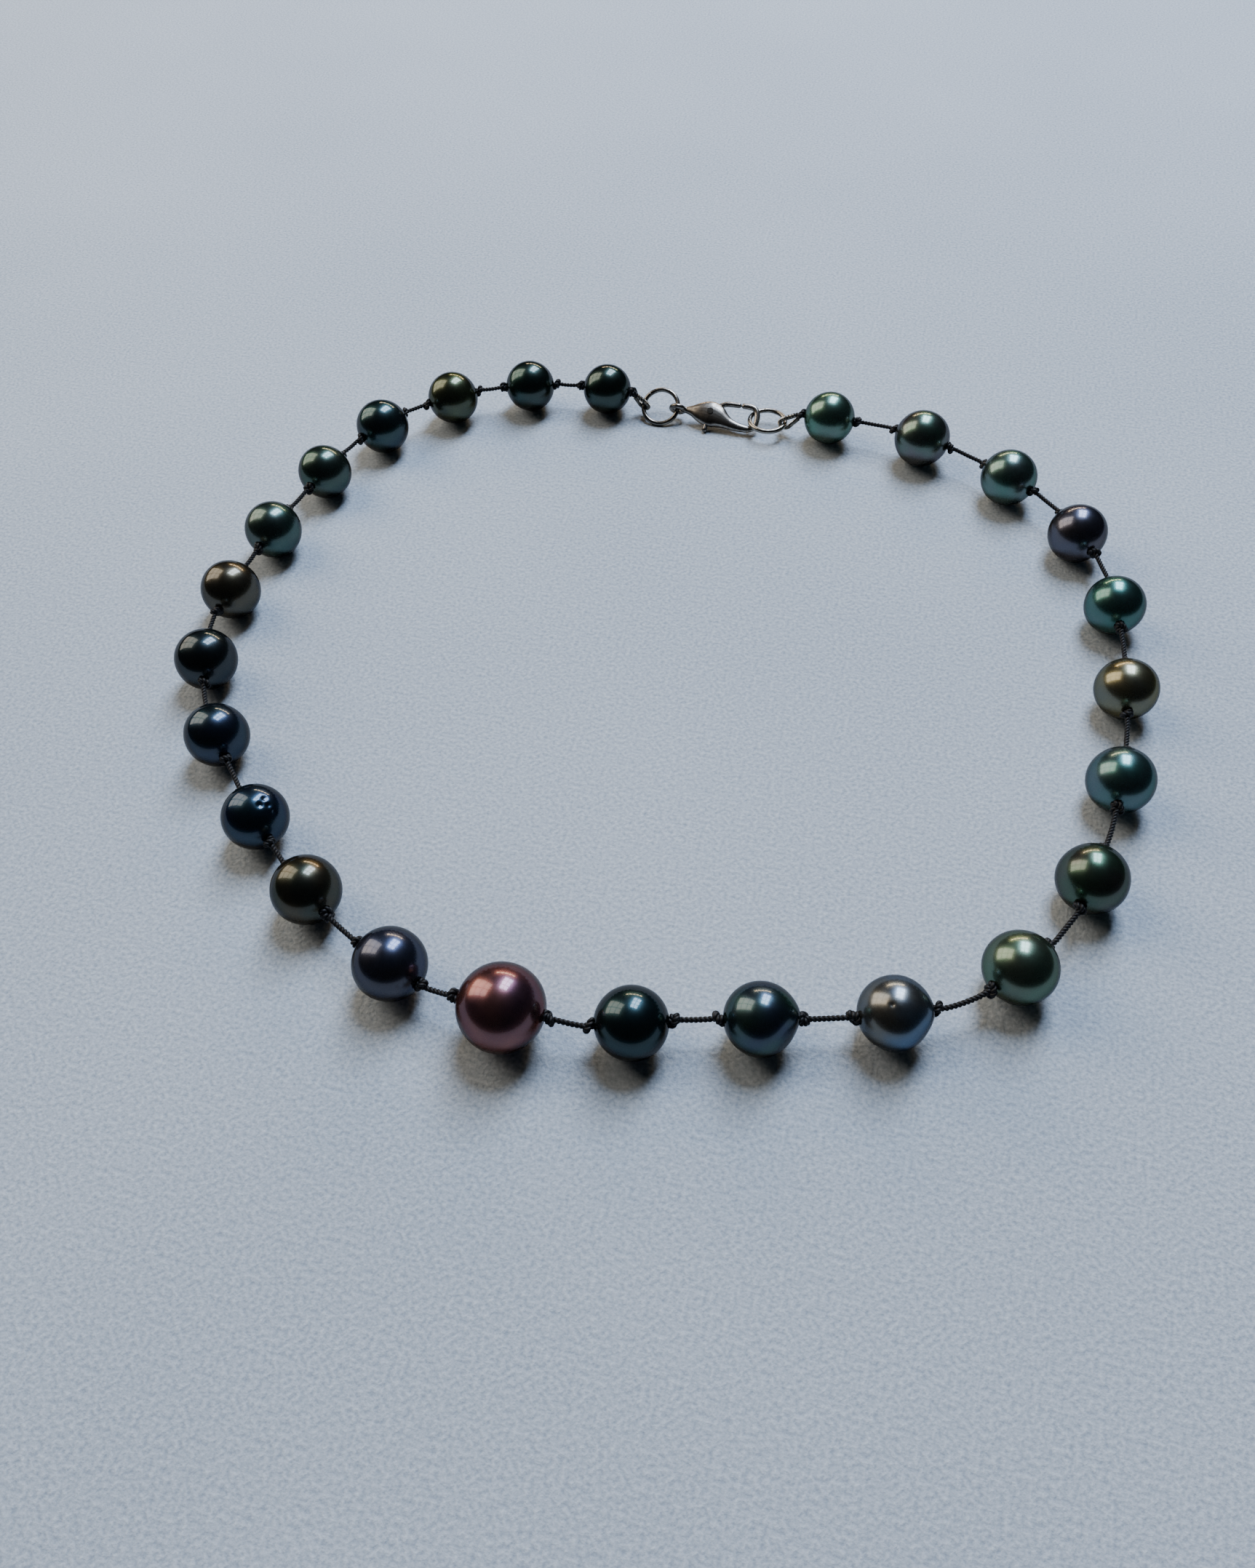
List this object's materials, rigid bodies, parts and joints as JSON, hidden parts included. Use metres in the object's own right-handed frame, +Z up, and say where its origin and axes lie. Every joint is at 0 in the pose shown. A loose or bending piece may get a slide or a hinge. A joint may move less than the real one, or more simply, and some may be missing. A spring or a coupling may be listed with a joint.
{
  "type": "pearl necklace",
  "caption": "Knotted station necklace of round dark pearls on black twisted silk, closed by a lobster clasp through two jump rings.",
  "frame": {"origin": "on the table plane, under the middle of the closed necklace's bounding box", "axes": "+X along the clasp from its left end to its right end, +Y from the front pearl to the clasp, +Z up from the table that the necklace lies on"},
  "size_m": [0.14, 0.1298, 0.0105],
  "materials": {
    "pearl_01": "polished",
    "pearl_02": "polished",
    "pearl_03": "polished",
    "pearl_04": "polished",
    "pearl_05": "polished",
    "pearl_06": "polished",
    "pearl_07": "polished",
    "pearl_08": "polished",
    "pearl_09": "polished",
    "pearl_10": "polished",
    "pearl_11": "polished",
    "pearl_12": "polished",
    "pearl_13": "polished",
    "pearl_14": "polished",
    "pearl_15": "polished",
    "pearl_16": "polished",
    "pearl_17": "polished",
    "pearl_18": "polished",
    "pearl_19": "polished",
    "pearl_20": "polished",
    "pearl_21": "polished",
    "pearl_22": "polished",
    "pearl_23": "polished",
    "pearl_24": "polished",
    "pearl_25": "polished",
    "silk": "matte",
    "french_wire": "satin",
    "ring_silver": "polished",
    "clasp_silver": "satin",
    "spring_steel": "satin"
  },
  "bodies": {
    "strand_01": {"silk_01": "silk", "french_wire_left": "french_wire"},
    "strand_02": {"silk_02": "silk"},
    "strand_03": {"silk_03": "silk"},
    "strand_04": {"silk_04": "silk"},
    "strand_05": {"silk_05": "silk"},
    "strand_06": {"silk_06": "silk"},
    "strand_07": {"silk_07": "silk"},
    "strand_08": {"silk_08": "silk"},
    "strand_09": {"silk_09": "silk"},
    "strand_10": {"silk_10": "silk"},
    "strand_11": {"silk_11": "silk"},
    "strand_12": {"silk_12": "silk"},
    "strand_13": {"silk_13": "silk"},
    "strand_14": {"silk_14": "silk"},
    "strand_15": {"silk_15": "silk"},
    "strand_16": {"silk_16": "silk"},
    "strand_17": {"silk_17": "silk"},
    "strand_18": {"silk_18": "silk"},
    "strand_19": {"silk_19": "silk"},
    "strand_20": {"silk_20": "silk"},
    "strand_21": {"silk_21": "silk"},
    "strand_22": {"silk_22": "silk"},
    "strand_23": {"silk_23": "silk"},
    "strand_24": {"silk_24": "silk"},
    "strand_25": {"silk_25": "silk", "french_wire_right": "french_wire"},
    "bead_01": {"pearl_01": "pearl_01"},
    "bead_02": {"pearl_02": "pearl_02"},
    "bead_03": {"pearl_03": "pearl_03"},
    "bead_04": {"pearl_04": "pearl_04"},
    "bead_05": {"pearl_05": "pearl_05"},
    "bead_06": {"pearl_06": "pearl_06"},
    "bead_07": {"pearl_07": "pearl_07"},
    "bead_08": {"pearl_08": "pearl_08"},
    "bead_09": {"pearl_09": "pearl_09"},
    "bead_10": {"pearl_10": "pearl_10"},
    "bead_11": {"pearl_11": "pearl_11"},
    "bead_12": {"pearl_12": "pearl_12"},
    "bead_13": {"pearl_13": "pearl_13"},
    "bead_14": {"pearl_14": "pearl_14"},
    "bead_15": {"pearl_15": "pearl_15"},
    "bead_16": {"pearl_16": "pearl_16"},
    "bead_17": {"pearl_17": "pearl_17"},
    "bead_18": {"pearl_18": "pearl_18"},
    "bead_19": {"pearl_19": "pearl_19"},
    "bead_20": {"pearl_20": "pearl_20"},
    "bead_21": {"pearl_21": "pearl_21"},
    "bead_22": {"pearl_22": "pearl_22"},
    "bead_23": {"pearl_23": "pearl_23"},
    "bead_24": {"pearl_24": "pearl_24"},
    "bead_25": {"pearl_25": "pearl_25"},
    "left_ring": {"jump_ring_left": "ring_silver"},
    "right_ring": {"jump_ring_right": "ring_silver"},
    "clasp": {"clasp_body": "clasp_silver", "clasp_pin": "ring_silver", "clasp_spring": "spring_steel"},
    "lever": {"clasp_lever": "clasp_silver"}
  },
  "joints": [
    {"name": "flex_right_01", "type": "hinge", "parent": "strand_13", "child": "strand_14", "pos_m": [0.00556, -0.0597, 0.0048], "axis": [0, 0, 1], "range_deg": [-30, 0]},
    {"name": "flex_right_02", "type": "hinge", "parent": "strand_14", "child": "strand_15", "pos_m": [0.0193, -0.05523, 0.00435], "axis": [0, 0, 1], "range_deg": [-30, 0]},
    {"name": "flex_right_03", "type": "hinge", "parent": "strand_15", "child": "strand_16", "pos_m": [0.03381, -0.05161, 0.00435], "axis": [0, 0, 1], "range_deg": [-30, 0]},
    {"name": "flex_right_04", "type": "hinge", "parent": "strand_16", "child": "strand_17", "pos_m": [0.04879, -0.04616, 0.00438], "axis": [0, 0, 1], "range_deg": [-30, 0]},
    {"name": "flex_right_05", "type": "hinge", "parent": "strand_17", "child": "strand_18", "pos_m": [0.05959, -0.03329, 0.0044], "axis": [0, 0, 1], "range_deg": [-30, 0]},
    {"name": "flex_right_06", "type": "hinge", "parent": "strand_18", "child": "strand_19", "pos_m": [0.06422, -0.01714, 0.0044], "axis": [0, 0, 1], "range_deg": [-30, 0]},
    {"name": "flex_right_07", "type": "hinge", "parent": "strand_19", "child": "strand_20", "pos_m": [0.06598, -0.00043, 0.00435], "axis": [0, 0, 1], "range_deg": [-30, 0]},
    {"name": "flex_right_08", "type": "hinge", "parent": "strand_20", "child": "strand_21", "pos_m": [0.0654, 0.01616, 0.00432], "axis": [0, 0, 1], "range_deg": [-30, 6]},
    {"name": "flex_right_09", "type": "hinge", "parent": "strand_21", "child": "strand_22", "pos_m": [0.06254, 0.03236, 0.0044], "axis": [0, 0, 1], "range_deg": [-24, 12]},
    {"name": "flex_right_10", "type": "hinge", "parent": "strand_22", "child": "strand_23", "pos_m": [0.05385, 0.04627, 0.00445], "axis": [0, 0, 1], "range_deg": [-30, 15]},
    {"name": "flex_right_11", "type": "hinge", "parent": "strand_23", "child": "strand_24", "pos_m": [0.04026, 0.05544, 0.00453], "axis": [0, 0, 1], "range_deg": [-30, 30]},
    {"name": "flex_right_12", "type": "hinge", "parent": "strand_24", "child": "strand_25", "pos_m": [0.02437, 0.0606, 0.00447], "axis": [0, 0, 1], "range_deg": [-45, 45]},
    {"name": "flex_left_01", "type": "hinge", "parent": "strand_13", "child": "strand_12", "pos_m": [-0.01044, -0.0597, 0.00487], "axis": [0, 0, 1], "range_deg": [0, 30]},
    {"name": "flex_left_02", "type": "hinge", "parent": "strand_12", "child": "strand_11", "pos_m": [-0.02477, -0.05448, 0.00445], "axis": [0, 0, 1], "range_deg": [0, 30]},
    {"name": "flex_left_03", "type": "hinge", "parent": "strand_11", "child": "strand_10", "pos_m": [-0.03725, -0.04607, 0.00438], "axis": [0, 0, 1], "range_deg": [0, 30]},
    {"name": "flex_left_04", "type": "hinge", "parent": "strand_10", "child": "strand_09", "pos_m": [-0.04855, -0.03589, 0.00438], "axis": [0, 0, 1], "range_deg": [0, 30]},
    {"name": "flex_left_05", "type": "hinge", "parent": "strand_09", "child": "strand_08", "pos_m": [-0.05912, -0.02415, 0.00443], "axis": [0, 0, 1], "range_deg": [0, 30]},
    {"name": "flex_left_06", "type": "hinge", "parent": "strand_08", "child": "strand_07", "pos_m": [-0.06528, -0.01031, 0.00445], "axis": [0, 0, 1], "range_deg": [0, 30]},
    {"name": "flex_left_07", "type": "hinge", "parent": "strand_07", "child": "strand_06", "pos_m": [-0.06579, 0.00433, 0.00445], "axis": [0, 0, 1], "range_deg": [0, 30]},
    {"name": "flex_left_08", "type": "hinge", "parent": "strand_06", "child": "strand_05", "pos_m": [-0.06473, 0.01944, 0.0044], "axis": [0, 0, 1], "range_deg": [-6, 30]},
    {"name": "flex_left_09", "type": "hinge", "parent": "strand_05", "child": "strand_04", "pos_m": [-0.0621, 0.03441, 0.00443], "axis": [0, 0, 1], "range_deg": [-12, 24]},
    {"name": "flex_left_10", "type": "hinge", "parent": "strand_04", "child": "strand_03", "pos_m": [-0.05517, 0.04743, 0.00445], "axis": [0, 0, 1], "range_deg": [-15, 30]},
    {"name": "flex_left_11", "type": "hinge", "parent": "strand_03", "child": "strand_02", "pos_m": [-0.0439, 0.05624, 0.00435], "axis": [0, 0, 1], "range_deg": [-30, 30]},
    {"name": "flex_left_12", "type": "hinge", "parent": "strand_02", "child": "strand_01", "pos_m": [-0.03049, 0.0606, 0.00428], "axis": [0, 0, 1], "range_deg": [-45, 45]},
    {"name": "left_ring_lift", "type": "hinge", "parent": "strand_01", "child": "left_ring", "pos_m": [-0.01674, 0.0606, 0.0021], "axis": [0, -0.8387, -0.5446], "range_deg": [0, 45]},
    {"name": "clasp_lift", "type": "hinge", "parent": "left_ring", "child": "clasp", "pos_m": [-0.01054, 0.0606, 0.0021], "axis": [0, -0.8387, -0.5446], "range_deg": [0, 90]},
    {"name": "lever_press", "type": "hinge", "parent": "clasp", "child": "lever", "pos_m": [-0.00454, 0.0606, 0.0021], "axis": [0, 0.5, -0.866], "range_deg": [0, 25], "stiffness_Nm_per_rad": 0.0005, "springref_deg": -20.05, "deforming": ["clasp_spring"]},
    {"name": "right_ring_roll", "type": "hinge", "parent": "strand_25", "child": "right_ring", "pos_m": [0.00872, 0.0606, 0.0021], "axis": [1, 0, 0], "range_deg": [-24, 0]},
    {"name": "pearl_spin_01", "type": "hinge", "parent": "strand_01", "child": "bead_01", "pos_m": [-0.02349, 0.0606, 0.00425], "axis": [-1, 0, 0], "continuous": true},
    {"name": "pearl_spin_02", "type": "hinge", "parent": "strand_02", "child": "bead_02", "pos_m": [-0.0372, 0.05842, 0.0043], "axis": [-0.9511, -0.309, 0], "continuous": true},
    {"name": "pearl_spin_03", "type": "hinge", "parent": "strand_03", "child": "bead_03", "pos_m": [-0.04954, 0.05184, 0.0044], "axis": [-0.788, -0.6157, 0], "continuous": true},
    {"name": "pearl_spin_04", "type": "hinge", "parent": "strand_04", "child": "bead_04", "pos_m": [-0.05857, 0.04103, 0.0045], "axis": [-0.4695, -0.8829, 0], "continuous": true},
    {"name": "pearl_spin_05", "type": "hinge", "parent": "strand_05", "child": "bead_05", "pos_m": [-0.06337, 0.02717, 0.00435], "axis": [-0.1736, -0.9848, 0], "continuous": true},
    {"name": "pearl_spin_06", "type": "hinge", "parent": "strand_06", "child": "bead_06", "pos_m": [-0.06529, 0.01151, 0.00445], "axis": [-0.0698, -0.9976, 0], "continuous": true},
    {"name": "pearl_spin_07", "type": "hinge", "parent": "strand_07", "child": "bead_07", "pos_m": [-0.06554, -0.00287, 0.00445], "axis": [0.0349, -0.9994, 0], "continuous": true},
    {"name": "pearl_spin_08", "type": "hinge", "parent": "strand_08", "child": "bead_08", "pos_m": [-0.06225, -0.01712, 0.00445], "axis": [0.4067, -0.9135, 0], "continuous": true},
    {"name": "pearl_spin_09", "type": "hinge", "parent": "strand_09", "child": "bead_09", "pos_m": [-0.054, -0.02984, 0.0044], "axis": [0.6691, -0.7431, 0], "continuous": true},
    {"name": "pearl_spin_10", "type": "hinge", "parent": "strand_10", "child": "bead_10", "pos_m": [-0.04253, -0.04131, 0.00435], "axis": [0.7431, -0.6691, 0], "continuous": true},
    {"name": "pearl_spin_11", "type": "hinge", "parent": "strand_11", "child": "bead_11", "pos_m": [-0.03132, -0.05006, 0.0044], "axis": [0.829, -0.5592, 0], "continuous": true},
    {"name": "pearl_spin_12", "type": "hinge", "parent": "strand_12", "child": "bead_12", "pos_m": [-0.01726, -0.05722, 0.0045], "axis": [0.9397, -0.342, 0], "continuous": true},
    {"name": "pearl_spin_13", "type": "hinge", "parent": "strand_13", "child": "bead_13", "pos_m": [-0.00244, -0.0597, 0.00525], "axis": [1, 0, 0], "continuous": true},
    {"name": "pearl_spin_14", "type": "hinge", "parent": "strand_14", "child": "bead_14", "pos_m": [0.01231, -0.0575, 0.00435], "axis": [0.9511, 0.309, 0], "continuous": true},
    {"name": "pearl_spin_15", "type": "hinge", "parent": "strand_15", "child": "bead_15", "pos_m": [0.02643, -0.05345, 0.00435], "axis": [0.9703, 0.2419, 0], "continuous": true},
    {"name": "pearl_spin_16", "type": "hinge", "parent": "strand_16", "child": "bead_16", "pos_m": [0.04095, -0.04902, 0.00435], "axis": [0.9397, 0.342, 0], "continuous": true},
    {"name": "pearl_spin_17", "type": "hinge", "parent": "strand_17", "child": "bead_17", "pos_m": [0.05419, -0.03972, 0.0044], "axis": [0.6428, 0.766, 0], "continuous": true},
    {"name": "pearl_spin_18", "type": "hinge", "parent": "strand_18", "child": "bead_18", "pos_m": [0.06191, -0.02522, 0.0044], "axis": [0.2756, 0.9613, 0], "continuous": true},
    {"name": "pearl_spin_19", "type": "hinge", "parent": "strand_19", "child": "bead_19", "pos_m": [0.0651, -0.00879, 0.0044], "axis": [0.1045, 0.9945, 0], "continuous": true},
    {"name": "pearl_spin_20", "type": "hinge", "parent": "strand_20", "child": "bead_20", "pos_m": [0.06569, 0.00786, 0.0043], "axis": [-0.0349, 0.9994, 0], "continuous": true},
    {"name": "pearl_spin_21", "type": "hinge", "parent": "strand_21", "child": "bead_21", "pos_m": [0.06395, 0.02438, 0.00435], "axis": [-0.1736, 0.9848, 0], "continuous": true},
    {"name": "pearl_spin_22", "type": "hinge", "parent": "strand_22", "child": "bead_22", "pos_m": [0.0582, 0.03931, 0.00445], "axis": [-0.5299, 0.848, 0], "continuous": true},
    {"name": "pearl_spin_23", "type": "hinge", "parent": "strand_23", "child": "bead_23", "pos_m": [0.04706, 0.05085, 0.00445], "axis": [-0.829, 0.5592, 0], "continuous": true},
    {"name": "pearl_spin_24", "type": "hinge", "parent": "strand_24", "child": "bead_24", "pos_m": [0.03232, 0.05802, 0.0046], "axis": [-0.9511, 0.309, 0], "continuous": true},
    {"name": "pearl_spin_25", "type": "hinge", "parent": "strand_25", "child": "bead_25", "pos_m": [0.01627, 0.0606, 0.00435], "axis": [-1, 0, 0], "continuous": true}
  ]
}
